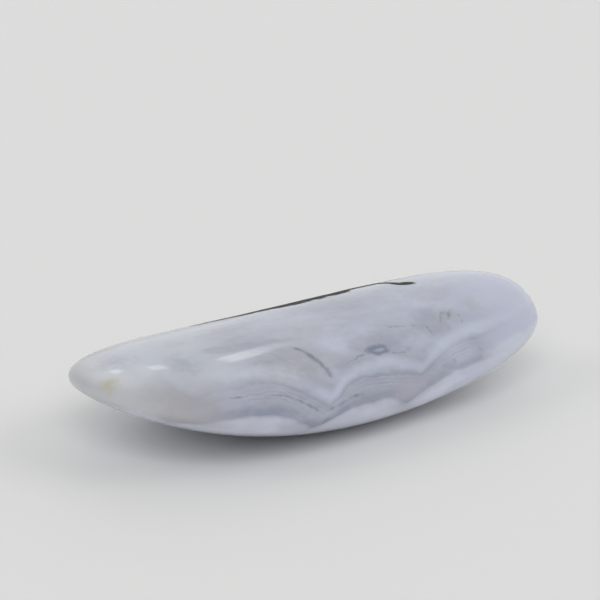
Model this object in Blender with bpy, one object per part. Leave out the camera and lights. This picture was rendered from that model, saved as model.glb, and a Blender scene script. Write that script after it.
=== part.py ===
"""A polished agate palm stone: one pebble with a long crown, a boat-like belly and a small resting flat.

The stone lies along X. Its crown is on top, its broad end at -X, and the origin is at the middle of
the flat that it rests on. Units are metres, and +Z is up.
"""

from math import pi

import bmesh
import bpy
import numpy as np
from mathutils import Matrix

# Driving dimensions
HALF_LENGTH = 0.038
HALF_WIDTH = 0.0175
CROWN_HEIGHT = 0.0085
BELLY_DEPTH = 0.0065
RESTING_CUT = 0.0003

# How each of them changes along the stone, where the broad end is at -1 and the narrow end at +1:
# a share that grows with the place, and a share that grows with its square
WIDTH_TAPER = (-0.17, 0.34)
CROWN_TAPER = (0.23, 0.17)
BELLY_TAPER = (-0.11, -0.43)

# The girdle dips in the middle: the rise of its ends, as a slope and as a sag
GIRDLE_SLOPE = -0.0004
GIRDLE_SAG = 0.0037

# How much the flanks between crown and girdle are drawn in
FLANK_LEAN = 0.10

# Faces around the stone, and from end to end
FACES_AROUND = 64
FACES_ALONG = 40

# Size of the block that trims the resting flat
TRIM_BLOCK = 0.05

PALE_BLUE_GREY = (0.50, 0.53, 0.62, 1.0)
POLISH_ROUGHNESS = 0.15


def clear_scene():
    """Removes every object that is in the scene."""
    for obj in list(bpy.data.objects):
        bpy.data.objects.remove(obj)


def tapered(size, taper, place):
    """A size at a place along the stone."""
    return size * (1 + taper[0] * place + taper[1] * place**2)


def pebble_points(sphere):
    """Moves the points of a unit sphere onto the pebble.

    The sphere's x is the place along the stone. Its y is drawn out to the stone's width. Its z is
    drawn out to the crown's height above the girdle and to the belly's depth below it, and the two
    are blended by the square of the sine, so that no crease is left where they meet.
    """
    place = sphere[:, 0]
    ring_radius = np.maximum(np.hypot(sphere[:, 1], sphere[:, 2]), 1e-9)
    across = sphere[:, 1] / ring_radius
    upward = sphere[:, 2] / ring_radius
    crown = tapered(CROWN_HEIGHT, CROWN_TAPER, place)
    belly = tapered(BELLY_DEPTH, BELLY_TAPER, place)
    lift = (crown + belly) / 2 * upward + (crown - belly) / 2 * upward**2
    girdle = GIRDLE_SLOPE * place + GIRDLE_SAG * place**2
    x = HALF_LENGTH * place
    y = tapered(HALF_WIDTH, WIDTH_TAPER, place) * sphere[:, 1]
    z = girdle + ring_radius * lift * (1 - FLANK_LEAN * across**2)
    return np.stack([x, y, z - z.min() - RESTING_CUT], axis=1)


def make_stone_material():
    """Pale blue-grey polished agate."""
    material = bpy.data.materials.new("polished_agate")
    material.use_nodes = True
    shader = material.node_tree.nodes["Principled BSDF"]
    shader.inputs["Base Color"].default_value = PALE_BLUE_GREY
    shader.inputs["Roughness"].default_value = POLISH_ROUGHNESS
    shader.inputs["Metallic"].default_value = 0.0
    material.diffuse_color = PALE_BLUE_GREY
    return material


def add_object(name, shape):
    """Turns a bmesh into an object of the scene."""
    mesh = bpy.data.meshes.new(name)
    shape.to_mesh(mesh)
    shape.free()
    obj = bpy.data.objects.new(name, mesh)
    bpy.context.scene.collection.objects.link(obj)
    return obj


def make_trim_block():
    """The block below the resting plane, which trims the belly flat."""
    shape = bmesh.new()
    below = Matrix.Translation((0, 0, -TRIM_BLOCK / 2))
    bmesh.ops.create_cube(shape, size=TRIM_BLOCK, matrix=below)
    block = add_object("resting_trim_block", shape)
    block.hide_render = True
    block.display_type = "WIRE"
    return block


def make_stone(trim_block):
    """The pebble, with its poles at the two ends, trimmed flat where it rests."""
    shape = bmesh.new()
    poles_along_x = Matrix.Rotation(pi / 2, 4, "Y")
    bmesh.ops.create_uvsphere(
        shape,
        u_segments=FACES_AROUND,
        v_segments=FACES_ALONG,
        radius=1.0,
        matrix=poles_along_x,
    )
    placed = pebble_points(np.array([vertex.co[:] for vertex in shape.verts]))
    for vertex, point in zip(shape.verts, placed):
        vertex.co = point
    bmesh.ops.recalc_face_normals(shape, faces=shape.faces)
    stone = add_object("palm_stone", shape)
    stone.data.shade_smooth()
    stone.data.materials.append(make_stone_material())
    trim = stone.modifiers.new("resting_flat", "BOOLEAN")
    trim.operation = "DIFFERENCE"
    trim.solver = "EXACT"
    trim.object = trim_block
    return stone


def main():
    clear_scene()
    make_stone(make_trim_block())


main()
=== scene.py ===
"""An agate palm stone on a pale table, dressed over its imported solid.

The stone is one piece. Its surface is a grid of points worked out from the same sizes as the solid.
Its bands are layers that grew over humps: each point keeps its height above them, and the material
turns that height into zones and fine lines. Inside the stone's classes lengths are in millimetres,
because its marks are that small. Meshes are in metres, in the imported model's frame.
"""

import logging
from dataclasses import dataclass
from enum import Enum
from math import cos, radians, sin

import bpy
import numpy as np
from mathutils import Matrix, Vector

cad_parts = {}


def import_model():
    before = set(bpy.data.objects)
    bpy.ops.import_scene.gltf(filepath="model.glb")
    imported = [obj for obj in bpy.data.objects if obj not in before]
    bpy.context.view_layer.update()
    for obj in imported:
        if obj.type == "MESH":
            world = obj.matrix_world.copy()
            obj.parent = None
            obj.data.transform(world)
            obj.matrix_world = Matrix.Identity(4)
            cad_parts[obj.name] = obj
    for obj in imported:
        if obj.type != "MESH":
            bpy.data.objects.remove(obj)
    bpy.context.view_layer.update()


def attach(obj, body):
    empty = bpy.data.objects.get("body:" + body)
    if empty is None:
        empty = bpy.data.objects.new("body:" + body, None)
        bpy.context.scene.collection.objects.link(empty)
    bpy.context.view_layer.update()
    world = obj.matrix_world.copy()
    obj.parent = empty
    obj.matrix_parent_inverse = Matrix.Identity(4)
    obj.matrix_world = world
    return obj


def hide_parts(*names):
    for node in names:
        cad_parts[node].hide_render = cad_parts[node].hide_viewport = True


log = logging.getLogger("palm_stone")

MM = 0.001
LEVEL_ATTRIBUTE = "growth_level"
FAR_FROM_MARKS = -4.0

Point = tuple[float, float, float]
Colour = tuple[float, float, float]
Span = tuple[float, float]
Socket = bpy.types.NodeSocket


class Stain(Enum):
    """The kinds of marks in the stone. Each has a field of its own on the mesh."""

    LINED = "lined"
    MILK = "milk"
    SMOKE = "smoke"
    MOSS = "moss"
    ROSE = "rose"
    OCHRE = "ochre"
    INK = "ink"
    THREAD = "thread"
    CORE = "core"
    HOST_ROCK = "host_rock"
    RIND = "rind"


class Chalcedony(Enum):
    """The stone's colours, as the light that each sends back. The pale glow for the broad tip is painted
    light, and the pale haze high on the broad end is partly painted glow.
    """

    CHALK_WHITE = (0.60, 0.62, 0.72)
    MILKY_WHITE = (0.485, 0.505, 0.59)
    PALE_BAND = (0.46, 0.485, 0.58)
    BLUE_GREY = (0.445, 0.461, 0.551)
    DOVE_GREY = (0.385, 0.40, 0.475)
    LAVENDER = (0.503, 0.525, 0.647)
    SLATE = (0.334, 0.35, 0.419)
    DUSK_BLUE = (0.281, 0.302, 0.382)
    ICE_BLUE = (0.53, 0.57, 0.65)
    BEIGE_GREY = (0.40, 0.388, 0.40)
    # Pale haze high on the broad end: partly the stone's own tone, partly a painted glow along its top.
    HAZE_AND_PAINTED_GLOW = (0.52, 0.545, 0.60)
    # Painted glow: the whitish light at the broad tip, painted into the colour.
    PAINTED_TIP_GLOW = (0.68, 0.70, 0.73)
    CLOUD_BLUE = (0.43, 0.46, 0.555)
    RIM_WHITE = (0.594, 0.615, 0.694)
    MOSS_GREY = (0.36, 0.398, 0.403)
    DARK_MOSS = (0.21, 0.235, 0.255)
    ROSE_GREY = (0.405, 0.39, 0.46)
    OCHRE = (0.498, 0.466, 0.35)
    INK_BLUE = (0.18, 0.20, 0.28)
    MOSS_BLACK = (0.15, 0.17, 0.185)
    PALE_CORE = (0.36, 0.39, 0.49)
    BASALT = (0.010, 0.011, 0.013)
    BASALT_BROWN = (0.060, 0.052, 0.045)
    ROCK_SPECK = (0.26, 0.25, 0.22)
    CELADONITE = (0.25, 0.29, 0.27)
    LICHEN_YELLOW = (0.50, 0.53, 0.42)


def placed(name: str, data: bpy.types.ID) -> bpy.types.Object:
    """Makes an object of a mesh, a lamp or a camera, and puts it into the scene.

    Args:
        name: The object's name.
        data: The mesh, the lamp or the camera.

    Returns:
        The object.
    """
    thing = bpy.data.objects.new(name, data)
    bpy.context.scene.collection.objects.link(thing)
    return thing


def soft_ramp(distance: np.ndarray, softness: float) -> np.ndarray:
    """A ramp that is 0 well before 0 and follows the distance well after it.

    The formula is half of the distance plus the root of its square and the softness's square.

    Args:
        distance: Signed distances.
        softness: How far the bend between the two straight parts spreads.

    Returns:
        The ramp at each distance.
    """
    return (np.sqrt(distance**2 + softness**2) + distance) / 2


@dataclass(frozen=True)
class PebbleForm:
    """The stone's outer form, in millimetres, with its length along X and its broad end at -X.

    A taper holds the shares by which a size changes with the place, -1 to 1 along the stone, and with
    its square. A ripple wave holds its radians to a millimetre in x, y and z, and its phase.
    """

    half_length: float = 38.0
    half_width: float = 17.5
    crown_height: float = 8.5
    belly_depth: float = 6.5
    resting_cut: float = 0.3
    width_taper: Span = (-0.17, 0.34)
    crown_taper: Span = (0.23, 0.17)
    belly_taper: Span = (-0.11, -0.43)
    girdle_slope: float = -0.4
    girdle_sag: float = 3.7
    flank_lean: float = 0.10
    hand_ripple: float = 0.004
    ripple_waves: tuple[tuple[float, float, float, float], ...] = (
        (0.55, 0.30, 0.0, 0.8),
        (0.34, -0.52, 0.45, 2.1),
        (0.85, -0.3, 0.21, 4.0),
    )

    @staticmethod
    def tapered(size: float, taper: Span, place: np.ndarray) -> np.ndarray:
        """A size that changes by a share of the place along the stone and a share of its square."""
        return size * (1 + taper[0] * place + taper[1] * place**2)

    def points(self, along: np.ndarray, around: np.ndarray) -> np.ndarray:
        """The stone's surface.

        A ring at an angle along the stone is a half sine in size. Its width and its heights above and
        below the girdle taper with the place. The two heights are blended by the square of the sine of
        the angle around, and the flanks are drawn in by the square of its cosine. The resting flat is
        the plane that cuts a little off the lowest part.

        Args:
            along: Angles from the broad end, 0, to the narrow end, pi.
            around: Angles around the stone, from +Y over the crown.

        Returns:
            Points in millimetres, with the shape of the two angles broadcast together, by 3.
        """
        place, ring = -np.cos(along), np.sin(along)
        across, upward = np.cos(around), np.sin(around)
        crown = self.tapered(self.crown_height, self.crown_taper, place)
        belly = self.tapered(self.belly_depth, self.belly_taper, place)
        lift = (crown + belly) / 2 * upward + (crown - belly) / 2 * upward**2
        girdle = self.girdle_slope * place + self.girdle_sag * place**2
        x = self.half_length * place + 0 * around
        y = self.tapered(self.half_width, self.width_taper, place) * ring * across
        z = girdle + ring * lift * (1 - self.flank_lean * across**2)
        z = z - z.min() - self.resting_cut
        ripple = self.hand_ripple * ring * self.polishing_waves(x, y, z)
        z = z + ripple * upward
        y = y + ripple * across
        return np.stack([x, y, np.maximum(z, 0)], axis=-1)

    def polishing_waves(self, x: np.ndarray, y: np.ndarray, z: np.ndarray) -> np.ndarray:
        """The unevenness of hand polishing: the mean of a few slow waves in skew directions.

        Each wave is the sine of a weighted sum of the three coordinates, moved on by a phase.

        Args:
            x: Places along the stone.
            y: Places across it.
            z: Heights above the table.

        Returns:
            Heights of the waves, from -1 to 1.
        """
        waves = [np.sin(a * x + b * y + c * z + phase) for a, b, c, phase in self.ripple_waves]
        return np.mean(waves, axis=0)


@dataclass(frozen=True)
class Hump:
    """One hump that the layers grew over, as an arch in the lengthwise plane.

    The crest and the shoulders are in millimetres. The rise and the falls are slopes.
    """

    crest: float
    rise: float
    left_shoulder: float
    left_fall: float
    right_shoulder: float
    right_fall: float
    softness: float

    def height(self, along: np.ndarray) -> np.ndarray:
        """The arch: its sloping crest, less a soft ramp down past each shoulder.

        Args:
            along: Places along the stone, moved by the layers' slant.

        Returns:
            The arch's height at each place.
        """
        left = self.left_fall * soft_ramp(self.left_shoulder - along, self.softness)
        right = self.right_fall * soft_ramp(along - self.right_shoulder, self.softness)
        return self.crest + self.rise * along - left - right


@dataclass(frozen=True)
class GrowthLayers:
    """The layers of the agate. They lie over the humps and meet in notches between them."""

    humps: tuple[Hump, ...]
    slant: float = 0.9
    slant_height: float = 6.0
    skew: float = 0.3
    front_flank: float = -12.0
    flank_softness: float = 3.0

    def level(self, points: np.ndarray) -> np.ndarray:
        """How far above the humps each point lies.

        The highest hump at a place sets the layers there. The place is moved along the stone in
        proportion to the height, so that the notches lean, and in proportion to how far behind the
        front flank the point is, so that the back has the notches elsewhere.

        Args:
            points: Points in millimetres.

        Returns:
            Heights above the humps, in millimetres.
        """
        x, y, z = points[..., 0], points[..., 1], points[..., 2]
        behind = soft_ramp(y - self.front_flank, self.flank_softness)
        along = x - self.slant * (z - self.slant_height) - self.skew * behind
        return z - np.max([hump.height(along) for hump in self.humps], axis=0)


@dataclass(frozen=True)
class Patch:
    """An ellipsoidal mark, in millimetres, with its strength and its turn about Z in degrees."""

    stain: Stain
    middle: Point
    half_sizes: Point
    strength: float = 1.0
    turn: float = 0.0

    def nearness(self, points: np.ndarray) -> np.ndarray:
        """One less the distance from the middle, in half-sizes, times the strength.

        Args:
            points: The surface's points.

        Returns:
            The nearness of each point.
        """
        angle = radians(self.turn)
        away = points - np.array(self.middle)
        along = away[:, 0] * cos(angle) + away[:, 1] * sin(angle)
        across = away[:, 1] * cos(angle) - away[:, 0] * sin(angle)
        local = np.stack([along, across, away[:, 2]], axis=1) / np.array(self.half_sizes)
        return (1 - np.linalg.norm(local, axis=1)) * self.strength


@dataclass(frozen=True)
class Vein:
    """A thin mark along a line, in millimetres, with half-widths at its start, middle and end.

    The samples along it stand a step apart, and reach is how many neighbours on each side are averaged
    into one.
    """

    stain: Stain
    course: tuple[Point, ...]
    half_widths: Point
    strength: float = 1.0
    step: float = 0.2
    reach: int = 3

    def nearness(self, points: np.ndarray) -> np.ndarray:
        """One less the distance from the line, in half-widths, times the strength.

        The line is sampled at short steps, each sample is moved onto the nearest point of the surface,
        and each is then replaced by the mean of its neighbours, so that the line neither cuts below the
        surface nor zigzags along its grid.

        Args:
            points: The surface's points.

        Returns:
            The nearness of each point.
        """
        course = np.array(self.course)
        run = np.concatenate([[0], np.cumsum(np.linalg.norm(np.diff(course, axis=0), axis=1))])
        share = np.linspace(0, 1, max(int(run[-1] / self.step), 2))
        samples = np.stack([np.interp(share * run[-1], run, course[:, k]) for k in range(3)], axis=1)
        feet = np.array([points[np.argmin(np.sum((points - sample) ** 2, axis=1))] for sample in samples])
        padded = np.pad(feet, ((self.reach, self.reach), (0, 0)), "edge")
        smooth = np.mean([padded[k : k + len(feet)] for k in range(2 * self.reach + 1)], axis=0)
        best = np.full(len(points), FAR_FROM_MARKS)
        for foot, half_width in zip(smooth, np.interp(share, (0, 0.5, 1), self.half_widths)):
            best = np.maximum(best, 1 - np.linalg.norm(points - foot, axis=1) / half_width)
        return best * self.strength


# The humps, from the broad end to the narrow one.
HUMPS = (
    Hump(10.0, 0.0, -60.0, 0.30, -39.6, 0.42, 1.0),
    Hump(8.9, 0.0, -33.0, 0.22, -21.5, 0.45, 3.0),
    Hump(7.1, 0.0, -9.5, 0.55, -3.0, 0.25, 2.0),
    Hump(7.5, 0.02, 8.0, 0.50, 40.0, 0.30, 2.0),
)

# The marks that are about as broad as they are long, and the drifts.
PATCHES = (
    Patch(Stain.LINED, (-20.5, -15.5, 9.5), (11.0, 4.5, 3.5), 0.75),
    Patch(Stain.LINED, (-0.5, -16.3, 8.8), (9.0, 4.5, 3.6), 0.6),
    Patch(Stain.LINED, (14.0, -14.5, 9.5), (6.0, 4.0, 2.0), 0.5),
    Patch(Stain.MILK, (-4.5, -0.8, 14.5), (6.5, 3.0, 2.5), 0.25),
    Patch(Stain.MILK, (13.0, -3.4, 15.0), (5.5, 4.0, 2.0), 0.2),
    Patch(Stain.MILK, (24.0, 0.5, 15.2), (12.0, 4.0, 2.5), 0.8),
    Patch(Stain.MILK, (-15.0, 5.5, 13.6), (11.0, 4.0, 3.0), 0.9),
    Patch(Stain.MILK, (-23.0, -10.0, 12.6), (3.6, 2.6, 1.5), 0.7),
    Patch(Stain.MILK, (-14.5, -13.0, 11.8), (5.0, 2.5, 1.5), 0.4),
    Patch(Stain.SMOKE, (4.0, -10.9, 12.4), (6.8, 3.4, 1.7), 0.9),
    # Mauve-grey over the top of the crown under the seam: partly the stone's own tone, partly painted shade
    # that tones down the sheen there.
    Patch(Stain.SMOKE, (2.6, 1.0, 14.6), (9.5, 4.0, 2.0), 1.1, turn=-18.0),
    Patch(Stain.SMOKE, (-16.0, -9.6, 12.9), (3.6, 1.0, 0.9), 0.8, turn=-8.0),
    Patch(Stain.SMOKE, (-19.6, -4.3, 13.9), (3.2, 1.5, 1.3), 1.6, turn=-20.0),
    Patch(Stain.SMOKE, (-15.2, -5.0, 13.9), (3.4, 1.2, 1.2), 1.4, turn=-14.0),
    Patch(Stain.SMOKE, (-10.6, -5.8, 13.8), (3.8, 1.0, 1.2), 1.1, turn=-14.0),
    Patch(Stain.SMOKE, (-26.4, -5.2, 13.5), (3.0, 4.4, 1.8), 0.8),
    Patch(Stain.SMOKE, (-32.4, 1.8, 13.2), (3.6, 3.8, 2.2), 0.6),
    Patch(Stain.SMOKE, (13.0, -9.8, 12.8), (3.6, 4.2, 2.4), 1.4),
    Patch(Stain.SMOKE, (16.2, -9.2, 13.1), (1.9, 1.5, 0.9), 1.2, turn=40.0),
    Patch(Stain.SMOKE, (6.2, -13.0, 11.2), (0.9, 1.0, 0.6), 1.1),
    Patch(Stain.MOSS, (-11.0, -12.2, 11.9), (1.6, 2.6, 1.6), 0.8, turn=20.0),
    Patch(Stain.MOSS, (-15.6, -9.9, 12.7), (2.4, 0.9, 0.8), 0.9),
    Patch(Stain.MOSS, (16.2, -9.2, 13.1), (3.0, 2.2, 1.5), 0.9),
    Patch(Stain.MOSS, (21.7, -8.0, 13.6), (2.6, 2.4, 1.5), 0.5),
    Patch(Stain.MOSS, (-23.4, 1.4, 14.0), (2.4, 2.4, 1.2), 0.6),
    Patch(Stain.MOSS, (-33.2, -8.6, 11.7), (3.0, 2.0, 1.0), 0.4),
    Patch(Stain.ROSE, (-11.3, -9.3, 13.0), (1.2, 0.9, 0.8)),
    Patch(Stain.ROSE, (14.2, -11.0, 12.2), (2.2, 1.2, 1.0), 0.6),
    Patch(Stain.ROSE, (3.4, -17.0, 6.9), (4.6, 2.0, 1.9), 0.7),
    Patch(Stain.OCHRE, (-36.7, -2.5, 11.9), (1.9, 1.9, 1.6)),
    Patch(Stain.OCHRE, (-37.3, -3.4, 11.2), (0.9, 0.9, 0.9), 0.8),
    Patch(Stain.INK, (1.6, -12.2, 11.8), (2.4, 1.8, 0.8), 1.8),
    Patch(Stain.CORE, (1.7, -12.2, 11.75), (1.5, 1.9, 0.24)),
    Patch(Stain.HOST_ROCK, (17.0, 1.0, 15.4), (1.7, 0.9, 0.9), 1.6, turn=-35.0),
    Patch(Stain.RIND, (16.6, 3.2, 15.2), (3.0, 1.2, 1.0), 1.4, turn=-35.0),
)

# The marks along lines: dark threads, wisps of smoke, pale bands, and the seam of host rock.
VEINS = (
    Vein(
        Stain.THREAD,
        (
            (-10.0, -8.0, 13.3),
            (-9.0, -9.8, 12.8),
            (-8.6, -12.4, 11.8),
            (-8.2, -13.6, 11.3),
            (-8.8, -14.8, 10.6),
        ),
        (1.8, 2.8, 2.4),
        1.01,
    ),
    Vein(Stain.THREAD, ((-25.2, -14.0, 10.8), (-23.3, -14.6, 10.6)), (1.8, 2.0, 1.6), 0.96),
    Vein(
        Stain.THREAD,
        ((-19.4, -15.3, 10.3), (-16.9, -16.0, 9.9), (-14.9, -17.2, 8.8), (-13.2, -17.9, 7.5)),
        (1.5, 2.1, 1.8),
        0.96,
    ),
    Vein(Stain.THREAD, ((14.3, -10.4, 12.7), (15.4, -8.8, 13.4), (17.2, -7.7, 13.7)), (1.8, 2.4, 1.6), 0.95),
    Vein(Stain.THREAD, ((16.0, -10.2, 12.9), (16.8, -9.0, 13.2), (18.0, -8.2, 13.5)), (1.8, 2.2, 1.6), 0.94),
    Vein(Stain.THREAD, ((18.4, -9.0, 13.2), (17.9, -10.8, 12.4)), (1.6, 2.0, 1.6), 0.92),
    Vein(Stain.THREAD, ((11.6, -9.8, 12.9), (11.9, -12.0, 11.7)), (1.8, 2.2, 1.6), 0.93),
    Vein(Stain.THREAD, ((-3.4, -12.8, 11.5), (-0.8, -12.4, 11.7)), (1.8, 2.0, 1.8), 0.94),
    Vein(Stain.THREAD, ((3.2, -13.1, 11.2), (5.6, -13.4, 11.0)), (1.8, 2.0, 1.6), 0.94),
    Vein(Stain.THREAD, ((6.0, -8.7, 13.4), (10.1, -9.8, 13.0)), (1.7, 2.0, 1.7), 0.95),
    Vein(
        Stain.THREAD,
        ((-11.9, -18.0, 7.3), (-9.5, -17.8, 7.6), (-7.0, -17.4, 8.1), (-5.0, -17.2, 8.2)),
        (2.0, 2.4, 1.6),
        0.94,
    ),
    Vein(
        Stain.SMOKE,
        ((-10.2, -8.2, 13.3), (-9.2, -9.8, 12.8), (-8.8, -12.4, 11.8), (-8.4, -14.6, 10.8)),
        (0.8, 1.2, 1.0),
        0.9,
    ),
    Vein(
        Stain.SMOKE,
        ((10.4, -15.7, 8.6), (12.8, -15.9, 8.0), (15.3, -15.6, 8.0), (18.0, -15.0, 8.3)),
        (0.6, 0.7, 0.5),
        1.2,
    ),
    Vein(Stain.SMOKE, ((12.7, -15.6, 8.4), (12.9, -15.0, 9.1)), (0.5, 0.6, 0.5), 1.1),
    Vein(Stain.SMOKE, ((17.9, -14.1, 9.5), (18.7, -14.6, 8.8)), (0.4, 0.5, 0.4), 1.0),
    Vein(
        Stain.MILK,
        ((-24.0, -9.9, 12.6), (-19.7, -11.2, 12.3), (-16.3, -12.2, 12.0), (-13.4, -13.8, 11.3)),
        (0.9, 1.3, 1.1),
        0.6,
    ),
    Vein(
        Stain.MILK,
        ((9.4, -14.2, 10.4), (14.0, -12.8, 11.1), (18.4, -11.9, 11.5), (21.5, -11.4, 11.6)),
        (0.9, 1.3, 1.0),
        0.55,
    ),
    Vein(
        Stain.HOST_ROCK,
        ((-15.0, 9.2, 12.9), (-11.5, 8.9, 13.2), (-7.0, 8.2, 13.5), (-3.2, 7.9, 13.8)),
        (0.4, 1.0, 1.5),
    ),
    Vein(
        Stain.HOST_ROCK,
        ((-2.6, 8.0, 13.8), (0.6, 7.2, 14.1), (4.6, 6.9, 14.3), (8.8, 6.0, 14.6)),
        (1.7, 2.6, 2.1),
    ),
    Vein(
        Stain.HOST_ROCK,
        ((9.4, 7.0, 14.3), (12.6, 6.1, 14.6), (15.2, 5.2, 14.8)),
        (1.2, 1.3, 0.9),
    ),
    Vein(Stain.HOST_ROCK, ((15.4, 4.6, 14.9), (15.8, 3.2, 15.1), (16.3, 2.2, 15.2)), (0.7, 0.5, 0.7)),
)


@dataclass(frozen=True)
class Noise:
    """A pattern of noise: its lumps to a millimetre, its finer layers, its offset and its strength."""

    per_mm: float
    detail: float
    offset: float
    strength: float = 1.0


@dataclass(frozen=True)
class Ramp:
    """A smooth step: the readings where it begins and ends, and its value at each of them."""

    first: float
    last: float
    start: float = 0.0
    end: float = 1.0


class NodeSheet:
    """A material's nodes, with a short method for each kind that the agate needs."""

    def __init__(self, material: bpy.types.Material) -> None:
        """Empties the material's node tree, and gives it a Principled shader and an output.

        Args:
            material: The material to build up.
        """
        material.use_nodes = True
        self.tree = material.node_tree
        self.tree.nodes.clear()
        self.shader = self.tree.nodes.new("ShaderNodeBsdfPrincipled")
        output = self.tree.nodes.new("ShaderNodeOutputMaterial")
        self.tree.links.new(self.shader.outputs["BSDF"], output.inputs["Surface"])

    def feed(self, socket: Socket, value: object) -> None:
        """Links an output to a socket, or sets the socket's own value.

        Args:
            socket: The input to feed.
            value: Another node's output, one of the stone's colours, or a plain value.
        """
        if isinstance(value, bpy.types.NodeSocket):
            self.tree.links.new(value, socket)
        elif isinstance(value, Chalcedony):
            socket.default_value = (*value.value, 1)
        else:
            socket.default_value = value

    def attribute(self, name: str) -> Socket:
        """A field that is kept on the mesh.

        Args:
            name: The field's name.

        Returns:
            The field's value.
        """
        node = self.tree.nodes.new("ShaderNodeAttribute")
        node.attribute_name = name
        return node.outputs["Fac"]

    def place(self) -> Socket:
        """The point on the stone, in millimetres."""
        return self.scaled(self.tree.nodes.new("ShaderNodeTexCoord").outputs["Object"], 1 / MM)

    def part(self, vector: Socket, axis: str) -> Socket:
        """One of a vector's three parts.

        Args:
            vector: The vector.
            axis: The part's name: X, Y or Z.

        Returns:
            The part.
        """
        node = self.tree.nodes.new("ShaderNodeSeparateXYZ")
        self.feed(node.inputs[0], vector)
        return node.outputs[axis]

    def scaled(self, vector: Socket, factor: object) -> Socket:
        """A vector or a colour multiplied by one factor.

        Args:
            vector: The vector or the colour.
            factor: A number, or an output that gives one.

        Returns:
            The product.
        """
        node = self.tree.nodes.new("ShaderNodeVectorMath")
        node.operation = "SCALE"
        self.feed(node.inputs[0], vector)
        self.feed(node.inputs["Scale"], factor)
        return node.outputs["Vector"]

    def stretched(self, vector: Socket, factors: Point) -> Socket:
        """A vector with each of its parts multiplied by a factor of its own.

        Args:
            vector: The vector.
            factors: The three factors.

        Returns:
            The stretched vector.
        """
        node = self.tree.nodes.new("ShaderNodeVectorMath")
        node.operation = "MULTIPLY"
        self.feed(node.inputs[0], vector)
        node.inputs[1].default_value = factors
        return node.outputs["Vector"]

    def math(self, operation: str, first: object, second: object = 0.0) -> Socket:
        """One step of arithmetic on two numbers.

        Args:
            operation: The step, as Blender names it.
            first: A number, or an output that gives one.
            second: The same, for steps that take two.

        Returns:
            The result.
        """
        node = self.tree.nodes.new("ShaderNodeMath")
        node.operation = operation
        self.feed(node.inputs[0], first)
        self.feed(node.inputs[1], second)
        return node.outputs["Value"]

    def plus(self, first: object, second: object) -> Socket:
        """The sum of two numbers."""
        return self.math("ADD", first, second)

    def times(self, first: object, second: object) -> Socket:
        """The product of two numbers."""
        return self.math("MULTIPLY", first, second)

    def step(self, value: object, ramp: Ramp) -> Socket:
        """The ramp's value at a reading.

        Args:
            value: The reading.
            ramp: The ramp.

        Returns:
            The value, which stays level past both ends.
        """
        node = self.tree.nodes.new("ShaderNodeMapRange")
        node.interpolation_type = "SMOOTHSTEP"
        ends = {"From Min": ramp.first, "From Max": ramp.last, "To Min": ramp.start, "To Max": ramp.end}
        for name, number in ends.items():
            node.inputs[name].default_value = number
        self.feed(node.inputs["Value"], value)
        return node.outputs["Result"]

    def window(self, value: Socket, rise: Ramp, fall: Ramp) -> Socket:
        """The product of two ramps' values at one reading."""
        return self.times(self.step(value, rise), self.step(value, fall))

    def noise(self, pattern: Noise, dimensions: str, way_in: str, value: Socket) -> Socket:
        """Noise around 0, times its strength.

        Args:
            pattern: The noise's sizes and strength.
            dimensions: How many dimensions the noise has, as Blender names them.
            way_in: The input that takes the value.
            value: What the noise is read at.

        Returns:
            The noise at the value.
        """
        node = self.tree.nodes.new("ShaderNodeTexNoise")
        node.noise_dimensions = dimensions
        node.inputs["W"].default_value = pattern.offset
        node.inputs["Scale"].default_value = pattern.per_mm
        node.inputs["Detail"].default_value = pattern.detail
        self.feed(node.inputs[way_in], value)
        return self.times(self.math("SUBTRACT", node.outputs["Fac"], 0.5), pattern.strength)

    def cloud(self, place: Socket, pattern: Noise) -> Socket:
        """Noise in space."""
        return self.noise(pattern, "4D", "Vector", place)

    def clouded(self, place: Socket, pattern: Noise, ramp: Ramp) -> Socket:
        """The ramp's value at noise in space."""
        return self.step(self.cloud(place, pattern), ramp)

    def lines(self, level: Socket, pattern: Noise) -> Socket:
        """Noise along the growth level alone, so that it draws lines along the layers."""
        return self.noise(pattern, "1D", "W", self.plus(level, pattern.offset))

    def zones(self, level: Socket, stops: tuple[tuple[float, Chalcedony], ...]) -> Socket:
        """Colours along the growth level.

        Args:
            level: The growth level, in millimetres.
            stops: Levels, lowest first, each with the colour there.

        Returns:
            The colour at the level.
        """
        low, high = stops[0][0], stops[-1][0]
        share = self.math("DIVIDE", self.math("SUBTRACT", level, low), high - low)
        node = self.tree.nodes.new("ShaderNodeValToRGB")
        elements = node.color_ramp.elements
        elements.remove(elements[1])
        elements[0].position = 0.0
        elements[0].color = (*stops[0][1].value, 1)
        for place, colour in stops[1:]:
            elements.new((place - low) / (high - low)).color = (*colour.value, 1)
        self.feed(node.inputs["Fac"], share)
        return node.outputs["Color"]

    def tint(self, amount: object, under: object, over: object) -> Socket:
        """One colour laid over another by an amount.

        Args:
            amount: How much of the upper colour shows.
            under: The lower colour.
            over: The upper colour.

        Returns:
            The mixed colour.
        """
        node = self.tree.nodes.new("ShaderNodeMix")
        node.data_type = "RGBA"
        self.feed(node.inputs["Factor"], amount)
        self.feed(node.inputs["A"], under)
        self.feed(node.inputs["B"], over)
        return node.outputs["Result"]

    def shaded(self, colour: Socket, change: Socket) -> Socket:
        """A colour made lighter or darker by a share of itself."""
        return self.scaled(colour, self.plus(change, 1.0))

    def bump(self, height: Socket, depth: float) -> Socket:
        """A surface direction, tilted as if the height, times the depth in metres, were real relief.

        Args:
            height: The relief's height, as a share of the depth.
            depth: The depth, in metres.

        Returns:
            The surface direction.
        """
        node = self.tree.nodes.new("ShaderNodeBump")
        node.inputs["Distance"].default_value = depth
        self.feed(node.inputs["Height"], height)
        return node.outputs["Normal"]


@dataclass(frozen=True)
class Ground:
    """What every layer of the finish reads: the place in millimetres, and the growth level there."""

    place: Socket
    level: Socket


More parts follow.
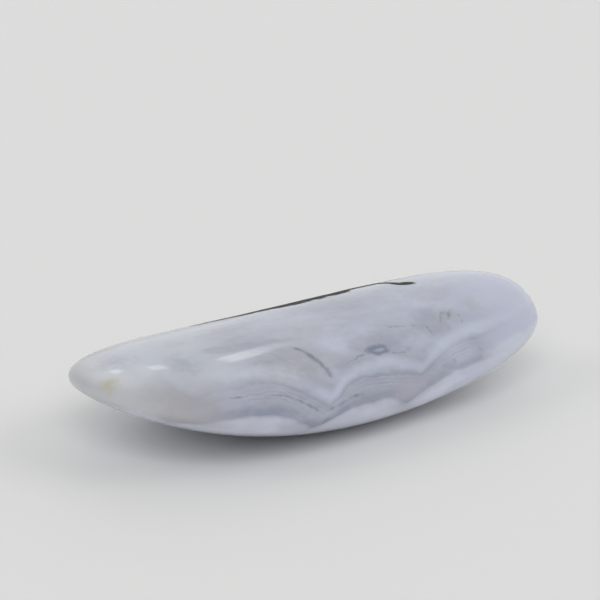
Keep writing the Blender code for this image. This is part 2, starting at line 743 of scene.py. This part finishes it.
@dataclass(frozen=True)
class Banding:
    """The zones of colour along the growth level, with fine lines in them."""

    zone_stops: tuple[tuple[float, Chalcedony], ...] = (
        (-9.0, Chalcedony.CHALK_WHITE),
        (-1.8, Chalcedony.CHALK_WHITE),
        (-0.4, Chalcedony.MILKY_WHITE),
        (0.1, Chalcedony.SLATE),
        (0.7, Chalcedony.SLATE),
        (1.5, Chalcedony.DOVE_GREY),
        (2.5, Chalcedony.DOVE_GREY),
        (2.9, Chalcedony.SLATE),
        (3.3, Chalcedony.PALE_BAND),
        (4.0, Chalcedony.PALE_BAND),
        (4.5, Chalcedony.DOVE_GREY),
        (5.4, Chalcedony.DOVE_GREY),
        (6.5, Chalcedony.BLUE_GREY),
        (8.0, Chalcedony.BLUE_GREY),
        (9.5, Chalcedony.CLOUD_BLUE),
    )
    slow_waver: Noise = Noise(0.22, 2.0, 0.0, 1.3)
    quick_waver: Noise = Noise(0.9, 4.0, 3.0, 0.28)
    broad_lines: Noise = Noise(1.1, 1.0, 0.0, 0.2)
    narrow_lines: Noise = Noise(2.6, 2.0, 40.0, 0.35)
    lines_come_and_go: Noise = Noise(0.16, 2.0, 7.0)
    lines_shown: Ramp = Ramp(-0.12, 0.12, 0.1, 0.8)
    above_belly: Ramp = Ramp(-0.6, 0.3)
    below_clouds: Ramp = Ramp(6.5, 4.5, 0.3, 1.0)

    def level(self, sheet: NodeSheet, place: Socket) -> Socket:
        """The growth level, moved a little by slow and by quick noise, so that the layers waver."""
        waver = sheet.plus(sheet.cloud(place, self.slow_waver), sheet.cloud(place, self.quick_waver))
        return sheet.plus(sheet.attribute(LEVEL_ATTRIBUTE), waver)

    def colour(self, sheet: NodeSheet, ground: Ground) -> Socket:
        """The bands, with fine parallel lines that are stronger in some places than in others.

        Args:
            sheet: The material's nodes.
            ground: The place and the growth level.

        Returns:
            The colour of the bands.
        """
        colour = sheet.zones(ground.level, self.zone_stops)
        broad = sheet.lines(ground.level, self.broad_lines)
        lines = sheet.plus(broad, sheet.lines(ground.level, self.narrow_lines))
        shown = sheet.clouded(ground.place, self.lines_come_and_go, self.lines_shown)
        lined = sheet.window(ground.level, self.above_belly, self.below_clouds)
        return sheet.shaded(colour, sheet.times(lines, sheet.times(shown, lined)))


@dataclass(frozen=True)
class Cloudiness:
    """Soft drifts of lavender and of grey through the whole stone, and a finer mottling."""

    drift_stretch: Point = (0.6, 1.0, 1.2)
    lavender_drift: Noise = Noise(0.14, 2.0, 11.0)
    lavender_shown: Ramp = Ramp(0.0, 0.18, 0.0, 0.5)
    grey_drift: Noise = Noise(0.11, 2.0, 17.0)
    grey_shown: Ramp = Ramp(0.0, 0.18, 0.0, 0.4)
    mottling: Noise = Noise(0.38, 5.0, 83.0, 0.45)

    def over(self, sheet: NodeSheet, ground: Ground, colour: Socket) -> Socket:
        """Lays the drifts over a colour.

        Args:
            sheet: The material's nodes.
            ground: The place and the growth level.
            colour: The colour under the drifts.

        Returns:
            The clouded colour.
        """
        drift = sheet.stretched(ground.place, self.drift_stretch)
        lavender = sheet.clouded(drift, self.lavender_drift, self.lavender_shown)
        colour = sheet.tint(lavender, colour, Chalcedony.LAVENDER)
        grey = sheet.clouded(drift, self.grey_drift, self.grey_shown)
        colour = sheet.tint(grey, colour, Chalcedony.BEIGE_GREY)
        return sheet.shaded(colour, sheet.cloud(drift, self.mottling))


@dataclass(frozen=True)
class FadedEnds:
    """The two ends, where the bands fade.

    The broad end turns beige below and pale higher up, partly its own pale blue tone and partly a
    painted glow along its top, and its tip takes a painted pale glow. The narrow end turns
    lavender, over a milky lower rim. The milky belly stays as it is.
    """

    drift: Noise = Noise(0.12, 3.0, 51.0, 12.0)
    drift_upward: float = 0.15
    above_belly: Ramp = Ramp(-0.6, 0.2)
    haze_and_glow_height: Ramp = Ramp(11.2, 13.3)
    haze_and_glow_shift: float = -9.0
    broad_end: Ramp = Ramp(-21.0, -33.0, 0.0, 0.75)
    # Painted glow: where it lies at the broad tip, and how much of it shows low on the stone.
    painted_glow_tip: Ramp = Ramp(-31.0, -38.0, 0.0, 0.8)
    painted_glow_below: float = 0.5
    narrow_end: Ramp = Ramp(15.0, 27.0, 0.0, 0.8)
    milky_rim: Ramp = Ramp(1.7, 0.7)

    def over(self, sheet: NodeSheet, ground: Ground, colour: Socket) -> Socket:
        """Lays both ends over the bands, with the painted glow on the broad end.

        Args:
            sheet: The material's nodes.
            ground: The place and the growth level.
            colour: The colour of the bands.

        Returns:
            The colour with both ends.
        """
        drift = sheet.cloud(ground.place, self.drift)
        along = sheet.plus(sheet.part(ground.place, "X"), drift)
        height = sheet.plus(sheet.part(ground.place, "Z"), sheet.times(drift, self.drift_upward))
        # How high on the stone: it sets the pale haze, which is partly painted glow.
        upper_haze_and_glow = sheet.step(height, self.haze_and_glow_height)
        colour = self.broad_over(sheet, ground, along, upper_haze_and_glow, colour)
        narrow = sheet.step(along, self.narrow_end)
        colour = sheet.tint(narrow, colour, Chalcedony.LAVENDER)
        rim = sheet.times(narrow, sheet.step(ground.level, self.milky_rim))
        return sheet.tint(rim, colour, Chalcedony.RIM_WHITE)

    def broad_over(
        self, sheet: NodeSheet, ground: Ground, along: Socket, upper_haze_and_glow: Socket, colour: Socket
    ) -> Socket:
        """Lays the broad end over the bands, with its painted glow.

        Args:
            sheet: The material's nodes.
            ground: The place and the growth level.
            along: The place along the stone, with its drift.
            upper_haze_and_glow: How high the place is on the stone, from 0 low to 1 high; it sets the pale
                haze, which is partly painted glow.
            colour: The colour of the bands.

        Returns:
            The colour with the broad end.
        """
        shifted = sheet.plus(along, sheet.times(upper_haze_and_glow, self.haze_and_glow_shift))
        above_belly = sheet.step(ground.level, self.above_belly)
        broad = sheet.times(sheet.step(shifted, self.broad_end), above_belly)
        # Beige below, pale haze higher up, the haze partly painted glow.
        colour = sheet.tint(broad, colour, sheet.tint(upper_haze_and_glow, Chalcedony.BEIGE_GREY, Chalcedony.HAZE_AND_PAINTED_GLOW))
        # Painted glow: the broad tip is lightened towards pale white, most of all high up.
        tip = sheet.times(sheet.step(along, self.painted_glow_tip), sheet.plus(upper_haze_and_glow, self.painted_glow_below))
        return sheet.tint(tip, colour, Chalcedony.PAINTED_TIP_GLOW)


@dataclass(frozen=True)
class DuskyLayer:
    """The dusky layer over the milky belly, in patches, as far as the middle of the stone."""

    lower_edge: Ramp = Ramp(-0.15, 0.15)
    upper_edge: Ramp = Ramp(1.25, 0.45)
    patches: Noise = Noise(0.55, 4.0, 41.0)
    patches_shown: Ramp = Ramp(-0.10, 0.08, 0.2, 1.1)
    towards_middle: Ramp = Ramp(0.0, -9.0)
    from_broad_end: Ramp = Ramp(-30.0, -21.0)

    def over(self, sheet: NodeSheet, ground: Ground, colour: Socket) -> Socket:
        """Lays the dusk over a colour.

        Args:
            sheet: The material's nodes.
            ground: The place and the growth level.
            colour: The colour under the dusk.

        Returns:
            The colour with the dusk.
        """
        layer = sheet.window(ground.level, self.lower_edge, self.upper_edge)
        patchy = sheet.clouded(ground.place, self.patches, self.patches_shown)
        reach = sheet.window(sheet.part(ground.place, "X"), self.towards_middle, self.from_broad_end)
        return sheet.tint(sheet.times(sheet.times(layer, patchy), reach), colour, Chalcedony.DUSK_BLUE)


@dataclass(frozen=True)
class MossyFilms:
    """Dark mossy films that lie along single layers of the lined zones, in broken stretches.

    Each has the growth level that it lies at, and its half-thickness, which the swelling multiplies.
    """

    levels: tuple[Span, ...] = ((1.50, 0.04), (1.95, 0.07), (2.35, 0.04), (2.75, 0.07), (5.90, 0.07))
    jaggedness: Noise = Noise(1.1, 5.0, 71.0, 0.45)
    swelling: Noise = Noise(0.45, 3.0, 61.0)
    swollen: Ramp = Ramp(-0.12, 0.14, 0.0, 1.5)
    edge: Ramp = Ramp(0.08, -0.06)
    lined: Ramp = Ramp(0.0, 1.2, 0.0, 0.65)

    def over(self, sheet: NodeSheet, ground: Ground, colour: Socket) -> Socket:
        """Lays the films over a colour.

        Args:
            sheet: The material's nodes.
            ground: The place and the growth level.
            colour: The colour under the films.

        Returns:
            The colour with the films.
        """
        wavering = sheet.plus(ground.level, sheet.cloud(ground.place, self.jaggedness))
        swollen = sheet.clouded(ground.place, self.swelling, self.swollen)
        amount = 0.0
        for level, half_thickness in self.levels:
            away = sheet.math("ABSOLUTE", sheet.math("SUBTRACT", wavering, level))
            beyond = sheet.math("SUBTRACT", away, sheet.times(swollen, half_thickness))
            amount = sheet.math("MAXIMUM", sheet.step(beyond, self.edge), amount)
        lined = sheet.step(sheet.attribute(Stain.LINED.value), self.lined)
        return sheet.tint(sheet.times(amount, lined), colour, Chalcedony.DARK_MOSS)


@dataclass(frozen=True)
class Marks:
    """The stone's single marks, each with an uneven edge, and its dark threads.

    A mark is shown in its own colour, by the amount that its ramp gives for the nearness.
    """

    shown: tuple[tuple[Stain, Chalcedony, Ramp], ...] = (
        (Stain.MILK, Chalcedony.ICE_BLUE, Ramp(-0.2, 1.0, 0.0, 0.7)),
        (Stain.SMOKE, Chalcedony.SLATE, Ramp(-0.1, 0.9, 0.0, 0.6)),
        (Stain.MOSS, Chalcedony.MOSS_GREY, Ramp(-0.1, 0.9, 0.0, 0.55)),
        (Stain.ROSE, Chalcedony.ROSE_GREY, Ramp(0.0, 0.7, 0.0, 0.7)),
        (Stain.OCHRE, Chalcedony.OCHRE, Ramp(-0.2, 1.0, 0.0, 0.8)),
        (Stain.INK, Chalcedony.INK_BLUE, Ramp(0.0, 0.8, 0.0, 0.85)),
        (Stain.CORE, Chalcedony.PALE_CORE, Ramp(0.0, 0.8, 0.0, 0.8)),
        (Stain.RIND, Chalcedony.LICHEN_YELLOW, Ramp(0.0, 0.6, 0.0, 0.8)),
        (Stain.HOST_ROCK, Chalcedony.CELADONITE, Ramp(-0.12, 0.10, 0.0, 0.8)),
    )
    fray: Noise = Noise(0.9, 4.0, 23.0, 1.3)
    thread_fray: Noise = Noise(1.0, 4.0, 91.0, 0.46)
    thread_shown: Ramp = Ramp(0.80, 1.04, 0.0, 0.75)

    def over(self, sheet: NodeSheet, ground: Ground, colour: Socket) -> Socket:
        """Lays the marks over a colour, one after another.

        Args:
            sheet: The material's nodes.
            ground: The place and the growth level.
            colour: The colour under the marks.

        Returns:
            The colour with the marks.
        """
        fray = sheet.cloud(ground.place, self.fray)
        for stain, over, ramp in self.shown:
            nearness = sheet.plus(sheet.attribute(stain.value), fray)
            colour = sheet.tint(sheet.step(nearness, ramp), colour, over)
        thread_fray = sheet.cloud(ground.place, self.thread_fray)
        thread = sheet.plus(sheet.attribute(Stain.THREAD.value), thread_fray)
        return sheet.tint(sheet.step(thread, self.thread_shown), colour, Chalcedony.MOSS_BLACK)


@dataclass(frozen=True)
class HostRock:
    """The rock that is left in the stone: near-black basalt, clouded brown, with pale specks."""

    fray: Noise = Noise(0.5, 5.0, 27.0, 1.1)
    edge: Ramp = Ramp(0.10, 0.30)
    brown_clouds: Noise = Noise(0.9, 4.0, 37.0)
    brown_shown: Ramp = Ramp(0.0, 0.2)
    specks: Noise = Noise(3.2, 2.0, 43.0)
    specks_shown: Ramp = Ramp(0.17, 0.24, 0.0, 0.7)
    added_roughness: float = 0.6
    pits: Noise = Noise(1.8, 4.0, 47.0)
    pit_depth: float = 0.0006

    def share(self, sheet: NodeSheet, ground: Ground) -> Socket:
        """Where the rock is: 1 inside it, 0 outside, with a lacy edge."""
        fray = sheet.cloud(ground.place, self.fray)
        return sheet.step(sheet.plus(sheet.attribute(Stain.HOST_ROCK.value), fray), self.edge)

    def over(self, sheet: NodeSheet, ground: Ground, colour: Socket) -> Socket:
        """Lays the rock over a colour.

        Args:
            sheet: The material's nodes.
            ground: The place and the growth level.
            colour: The colour of the polished stone.

        Returns:
            The colour with the rock.
        """
        brown = sheet.clouded(ground.place, self.brown_clouds, self.brown_shown)
        rock = sheet.tint(brown, Chalcedony.BASALT, Chalcedony.BASALT_BROWN)
        specks = sheet.clouded(ground.place, self.specks, self.specks_shown)
        rock = sheet.tint(specks, rock, Chalcedony.ROCK_SPECK)
        return sheet.tint(self.share(sheet, ground), colour, rock)


@dataclass(frozen=True)
class HandPolish:
    """The gloss of the hand polish, and the light that scatters below it."""

    roughness: float = 0.07
    wear: Noise = Noise(0.35, 4.0, 31.0, 0.04)
    refraction: float = 1.54
    translucency: float = 0.35
    scatter_depth: float = 0.0012
    scatter_tint: Colour = (1.0, 1.05, 1.2)

    def apply(self, sheet: NodeSheet, ground: Ground, rock: HostRock) -> None:
        """Sets the shader's gloss and scattering, rough and pitted where the rock is.

        Args:
            sheet: The material's nodes.
            ground: The place and the growth level.
            rock: The rock, which takes no polish.
        """
        share = rock.share(sheet, ground)
        gloss = sheet.plus(sheet.cloud(ground.place, self.wear), self.roughness)
        rough = sheet.plus(gloss, sheet.times(share, rock.added_roughness))
        pits = sheet.times(sheet.cloud(ground.place, rock.pits), share)
        sheet.feed(sheet.shader.inputs["Normal"], sheet.bump(pits, rock.pit_depth))
        sheet.feed(sheet.shader.inputs["Roughness"], rough)
        sheet.shader.inputs["IOR"].default_value = self.refraction
        sheet.shader.inputs["Subsurface Weight"].default_value = self.translucency
        sheet.shader.inputs["Subsurface Radius"].default_value = self.scatter_tint
        sheet.shader.inputs["Subsurface Scale"].default_value = self.scatter_depth


@dataclass(frozen=True)
class PolishedAgate:
    """The finish of the stone: banded, slightly translucent chalcedony with a hand polish."""

    banding: Banding = Banding()
    cloudiness: Cloudiness = Cloudiness()
    ends: FadedEnds = FadedEnds()
    dusk: DuskyLayer = DuskyLayer()
    films: MossyFilms = MossyFilms()
    marks: Marks = Marks()
    rock: HostRock = HostRock()
    polish: HandPolish = HandPolish()

    def material(self) -> bpy.types.Material:
        """Builds the stone's material.

        Returns:
            The material, which reads the growth level and the marks from the mesh.
        """
        material = bpy.data.materials.new("polished_agate")
        sheet = NodeSheet(material)
        place = sheet.place()
        ground = Ground(place, self.banding.level(sheet, place))
        colour = self.banding.colour(sheet, ground)
        for layer in (self.cloudiness, self.ends, self.dusk, self.films, self.marks, self.rock):
            colour = layer.over(sheet, ground, colour)
        sheet.feed(sheet.shader.inputs["Base Color"], colour)
        self.polish.apply(sheet, ground, self.rock)
        return material


@dataclass(frozen=True)
class PalmStone:
    """The whole stone: its form, its layers, its marks and its finish."""

    form: PebbleForm = PebbleForm()
    layers: GrowthLayers = GrowthLayers(HUMPS)
    marks: tuple[Patch | Vein, ...] = (*PATCHES, *VEINS)
    finish: PolishedAgate = PolishedAgate()
    rings: int = 399
    around: int = 240

    def points(self) -> np.ndarray:
        """The mesh's points in millimetres: the two end points, and the rings between them.

        Returns:
            The broad end's point, the narrow end's point, and then each ring's points.
        """
        along = np.linspace(0, np.pi, self.rings + 2)[:, None]
        around = np.linspace(0, 2 * np.pi, self.around, endpoint=False)[None, :]
        grid = self.form.points(along, around)
        return np.concatenate([grid[0, :1], grid[-1, :1], grid[1:-1].reshape(-1, 3)])

    def faces(self) -> list[tuple[int, ...]]:
        """Quads between neighbouring rings, and a fan of triangles at each end, facing outwards.

        Returns:
            The indices of each face's points.
        """
        column = np.arange(self.around)
        following = (column + 1) % self.around
        starts = 2 + self.around * np.arange(self.rings)
        here, there = starts[:-1, None], starts[1:, None]
        quads = np.stack([here + column, here + following, there + following, there + column], axis=-1)
        first = np.stack([np.zeros_like(column), starts[0] + following, starts[0] + column], axis=1)
        last = np.stack([np.ones_like(column), starts[-1] + column, starts[-1] + following], axis=1)
        return [*quads.reshape(-1, 4).tolist(), *first.tolist(), *last.tolist()]

    def build(self) -> bpy.types.Object:
        """Makes the stone's object.

        Returns:
            The object, with its growth level and its marks as attributes of its points.
        """
        points = self.points()
        mesh = bpy.data.meshes.new("banded_stone")
        mesh.from_pydata(points * MM, [], self.faces())
        mesh.shade_smooth()
        self.keep(mesh, LEVEL_ATTRIBUTE, self.layers.level(points))
        for stain in Stain:
            fields = [mark.nearness(points) for mark in self.marks if mark.stain is stain]
            self.keep(mesh, stain.value, np.maximum(np.max(fields, axis=0), FAR_FROM_MARKS))
        return placed("banded_stone", mesh)

    @staticmethod
    def keep(mesh: bpy.types.Mesh, name: str, values: np.ndarray) -> None:
        """Keeps a number for each point of the mesh."""
        attribute = mesh.attributes.new(name, "FLOAT", "POINT")
        attribute.data.foreach_set("value", values.astype(np.float32))

    def dress(self, stone: bpy.types.Object) -> None:
        """Gives the stone its finish."""
        stone.data.materials.append(self.finish.material())


@dataclass(frozen=True)
class Tabletop:
    """The pale table that the stone lies on."""

    half_size: float = 1.6
    whiteness: Colour = (0.80, 0.80, 0.79)
    roughness: float = 0.9

    def build(self) -> bpy.types.Object:
        """Makes the table's top, one flat face at height 0.

        Returns:
            The tabletop's object.
        """
        reach = self.half_size
        corners = [(-reach, -reach, 0), (reach, -reach, 0), (reach, reach, 0), (-reach, reach, 0)]
        mesh = bpy.data.meshes.new("tabletop")
        mesh.from_pydata(corners, [], [(0, 1, 2, 3)])
        return placed("tabletop", mesh)

    def dress(self, top: bpy.types.Object) -> None:
        """Gives the table a matt white finish.

        Args:
            top: The tabletop's object.
        """
        material = bpy.data.materials.new("matt_white")
        sheet = NodeSheet(material)
        sheet.shader.inputs["Base Color"].default_value = (*self.whiteness, 1)
        sheet.shader.inputs["Roughness"].default_value = self.roughness
        sheet.shader.inputs["Specular IOR Level"].default_value = 0.0
        top.data.materials.append(material)


@dataclass(frozen=True)
class PhotoView:
    """The camera: how it looks at the stone, with lengths in millimetres and angles in degrees.

    The focal length and the frame's width are counted in the picture's pixels.
    """

    turn: float = 37.33
    elevation: float = 17.0
    distance: float = 420.0
    aim_right: float = -2.15
    aim_up: float = 16.28
    focal_pixels: float = 2993.6
    frame_pixels: float = 600.0
    sensor: float = 36.0

    def axes(self) -> tuple[Vector, Vector, Vector]:
        """The camera's right, up and forward directions.

        Returns:
            The three directions, in that order.
        """
        turn, lift = radians(self.turn), radians(self.elevation)
        right = Vector((cos(turn), -sin(turn), 0))
        ahead = Vector((sin(turn), cos(turn), 0))
        forward = ahead * cos(lift) - Vector((0, 0, sin(lift)))
        up = ahead * sin(lift) + Vector((0, 0, cos(lift)))
        return right, up, forward

    def sky_axes(self, bearing: float, elevation: float) -> tuple[Vector, Vector, Vector]:
        """Directions at a place in the sky: outward to it, and to its right and its top.

        Args:
            bearing: Degrees to the right of straight behind the stone, as the camera sees it.
            elevation: Degrees above the table.

        Returns:
            The three directions as the stone sees them, each square to the others.
        """
        turn, lift = radians(self.turn + bearing), radians(elevation)
        level = Vector((sin(turn), cos(turn), 0))
        outward = level * cos(lift) + Vector((0, 0, sin(lift)))
        rightward = Vector((cos(turn), -sin(turn), 0))
        upward = Vector((0, 0, cos(lift))) - level * sin(lift)
        return outward, rightward, upward

    def build(self) -> bpy.types.Object:
        """Makes the camera and sets it as the scene's.

        Returns:
            The camera.
        """
        right, up, forward = self.axes()
        eye = (right * self.aim_right + Vector((0, 0, self.aim_up)) - forward * self.distance) * MM
        data = bpy.data.cameras.new("photo_view")
        data.sensor_width = self.sensor
        data.lens = self.focal_pixels / self.frame_pixels * self.sensor
        camera = placed("photo_view", data)
        columns = Matrix((right, up, -forward)).transposed().to_4x4()
        camera.matrix_world = Matrix.Translation(eye) @ columns
        bpy.context.scene.camera = camera
        return camera


@dataclass(frozen=True)
class WindowPane:
    """One pane of light behind the stone, with lengths in metres and angles in degrees."""

    name: str
    bearing: float
    elevation: float
    roll: float
    size: Span
    watts: float
    distance: float = 0.9

    def build(self, view: PhotoView) -> None:
        """Places the pane so that it faces the stone, with its first side rolled up to the right.

        Args:
            view: The camera, from which the bearing is measured.
        """
        outward, rightward, upward = view.sky_axes(self.bearing, self.elevation)
        roll = radians(self.roll)
        first_side = rightward * cos(roll) + upward * sin(roll)
        data = bpy.data.lights.new(self.name, "AREA")
        data.shape = "RECTANGLE"
        data.size, data.size_y = self.size
        data.energy = self.watts
        lamp = placed(self.name, data)
        columns = Matrix((first_side, outward.cross(first_side), outward)).transposed().to_4x4()
        lamp.matrix_world = Matrix.Translation(outward * self.distance) @ columns


@dataclass(frozen=True)
class BroadLamp:
    """A broad and distant soft lamp that the polish doesn't mirror, with angles in degrees."""

    name: str
    bearing: float
    elevation: float
    breadth: float
    strength: float

    def build(self, view: PhotoView) -> None:
        """Turns the lamp so that its light comes from its place in the sky.

        Args:
            view: The camera, from which the bearing is measured.
        """
        outward, _, _ = view.sky_axes(self.bearing, self.elevation)
        data = bpy.data.lights.new(self.name, "SUN")
        data.energy = self.strength
        data.angle = radians(self.breadth)
        lamp = placed(self.name, data)
        lamp.rotation_euler = outward.to_track_quat("Z", "Y").to_euler()
        lamp.visible_glossy = False


@dataclass(frozen=True)
class Studio:
    """The soft light: a dome with a faint glow behind, four broad lamps and a window of three panes."""

    dome_light: float = 0.425
    glow_light: float = 0.48
    glow_bearing: float = 12.0
    glow_elevation: float = 10.0
    glow_spread: Span = (0.35, 1.0)
    dome_colour: Colour = (0.985, 0.995, 1.0)
    lamps: tuple[BroadLamp | WindowPane, ...] = (
        BroadLamp("front_lamp", 180.0, 35.0, 40.0, 1.14),
        BroadLamp("right_lamp", 90.0, 35.0, 40.0, 0.49),
        BroadLamp("left_lamp", -90.0, 35.0, 40.0, 0.34),
        BroadLamp("rear_lamp", 0.0, 14.0, 40.0, 0.40),
        WindowPane("pane_left", -18.8, 37.4, -6.0, (0.079, 0.091), 0.026),
        WindowPane("pane_middle", -5.5, 38.8, -21.0, (0.041, 0.082), 0.0125),
        WindowPane("pane_right", 5.4, 39.0, 54.5, (0.084, 0.031), 0.0135),
    )

    def dome(self, view: PhotoView) -> bpy.types.World:
        """The dome: its light rises smoothly towards the middle of the glow.

        Args:
            view: The camera, from which the glow's bearing is measured.

        Returns:
            The world.
        """
        world = bpy.data.worlds.new("studio_dome")
        world.use_nodes = True
        nodes, links = world.node_tree.nodes, world.node_tree.links
        nearness = nodes.new("ShaderNodeVectorMath")
        nearness.operation = "DOT_PRODUCT"
        nearness.inputs[1].default_value = view.sky_axes(self.glow_bearing, self.glow_elevation)[0]
        links.new(nodes.new("ShaderNodeTexCoord").outputs["Generated"], nearness.inputs[0])
        rise = nodes.new("ShaderNodeMapRange")
        rise.interpolation_type = "SMOOTHSTEP"
        rise.inputs["From Min"].default_value, rise.inputs["From Max"].default_value = self.glow_spread
        rise.inputs["To Min"].default_value = self.dome_light
        rise.inputs["To Max"].default_value = self.dome_light + self.glow_light
        links.new(nearness.outputs["Value"], rise.inputs["Value"])
        background = nodes["Background"]
        background.inputs["Color"].default_value = (*self.dome_colour, 1)
        links.new(rise.outputs["Result"], background.inputs["Strength"])
        return world

    def build(self, view: PhotoView) -> None:
        """Lights the scene, with the colours shown as they are.

        Args:
            view: The camera, from which the bearings are measured.
        """
        bpy.context.scene.world = self.dome(view)
        bpy.context.scene.view_settings.view_transform = "Standard"
        for lamp in self.lamps:
            lamp.build(view)


def main() -> None:
    """Builds the stone over its solid, and the table, the light and the camera around it."""
    logging.basicConfig(level=logging.INFO, format="%(name)s: %(message)s")
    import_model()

    view = PhotoView()
    view.build()
    log.info("camera placed")

    palm_stone = PalmStone()
    stone = palm_stone.build()
    palm_stone.dress(stone)
    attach(stone, "root")
    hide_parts("palm_stone")
    log.info("%s: %d faces", stone.name, len(stone.data.polygons))

    table = Tabletop()
    top = table.build()
    table.dress(top)
    log.info("%s placed", top.name)

    Studio().build(view)
    log.info("light placed")


if __name__ == "__main__":
    main()
